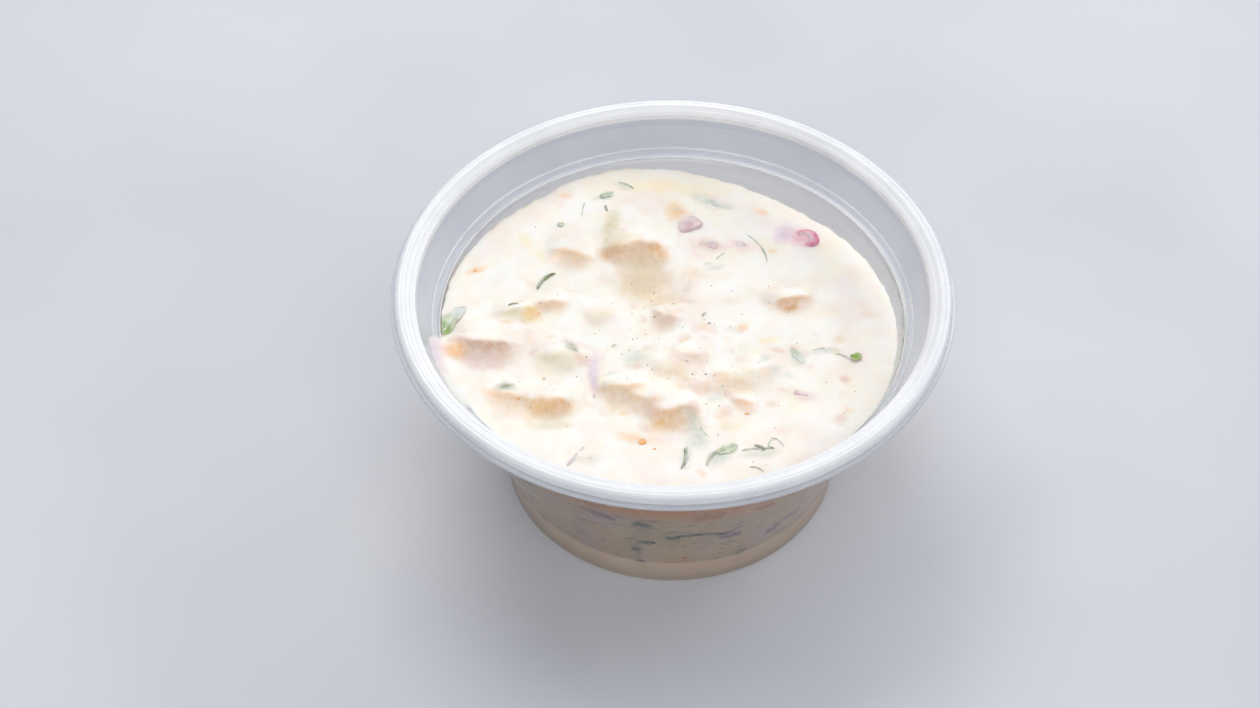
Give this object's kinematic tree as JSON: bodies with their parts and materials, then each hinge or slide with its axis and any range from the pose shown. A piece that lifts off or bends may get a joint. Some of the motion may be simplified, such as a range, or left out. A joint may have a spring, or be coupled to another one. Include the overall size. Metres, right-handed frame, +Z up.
{
  "type": "tartar sauce in a sauce pot",
  "caption": "Chunky creamy herb sauce filling a round tapered translucent pot with a flared rim, open at the top.",
  "frame": {"origin": "centre of the cup's foot, on the surface that it stands on", "axes": "+Z up out of the open mouth, -Y towards the front of the pot as served, +X to its right"},
  "size_m": [0.07, 0.07, 0.0318],
  "materials": {
    "cup_plastic": "translucent milky polypropylene, satin, whiter where it is thick",
    "sauce_cream": "moist creamy off-white sauce with herb, onion and pickle bits and pepper specks"
  },
  "bodies": {
    "root": {"cup": "cup_plastic", "sauce": "sauce_cream"}
  },
  "joints": []
}
